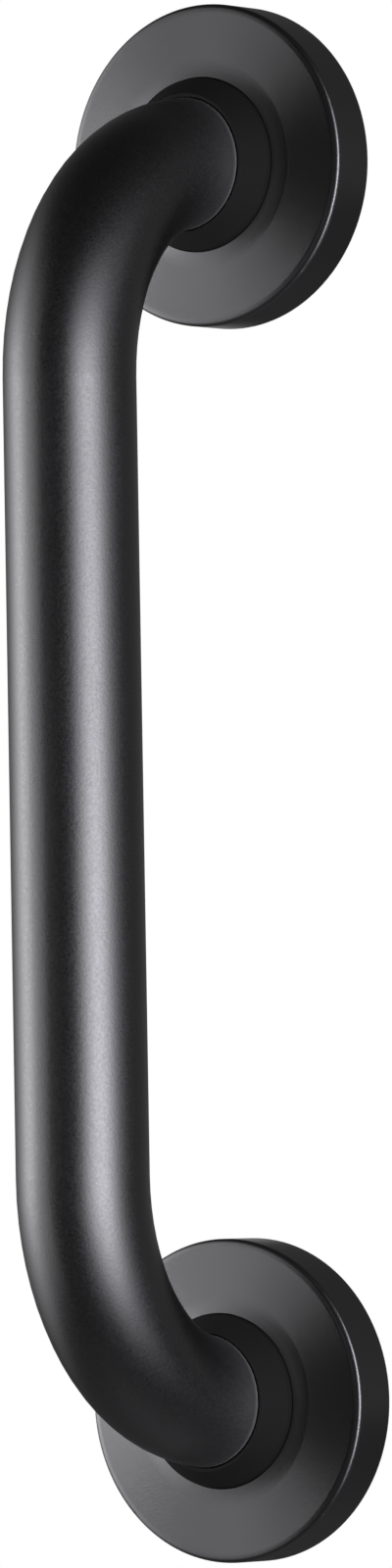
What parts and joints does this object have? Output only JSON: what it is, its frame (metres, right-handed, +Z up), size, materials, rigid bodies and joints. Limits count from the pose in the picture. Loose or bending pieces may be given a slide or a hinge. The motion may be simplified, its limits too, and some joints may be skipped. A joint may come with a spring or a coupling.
{
  "type": "grab bar",
  "caption": "Straight matte black bathroom grab bar: a bent steel tube between round wall roses, with tapered collars and hidden screw flanges.",
  "frame": {"origin": "on the wall plane, midway between the two wall fixings", "axes": "+Z up along the bar, +Y into the wall, +X to the right seen from the room"},
  "size_m": [0.0786, 0.087, 0.3786],
  "materials": {
    "black_coat": "satin black powder coat on steel",
    "rose_coat": "satin black powder coat on pressed steel",
    "flange_coat": "satin black powder coat on turned steel",
    "black_plastic": "dead-matte moulded black",
    "black_rubber": "smooth black rubber"
  },
  "bodies": {
    "root": {"bar_tube": "black_coat", "upper_wall_flange": "flange_coat", "upper_grip_ring": "black_rubber", "upper_rose": "rose_coat", "upper_collar": "black_plastic", "lower_wall_flange": "flange_coat", "lower_grip_ring": "black_rubber", "lower_rose": "rose_coat", "lower_collar": "black_plastic"}
  },
  "joints": []
}
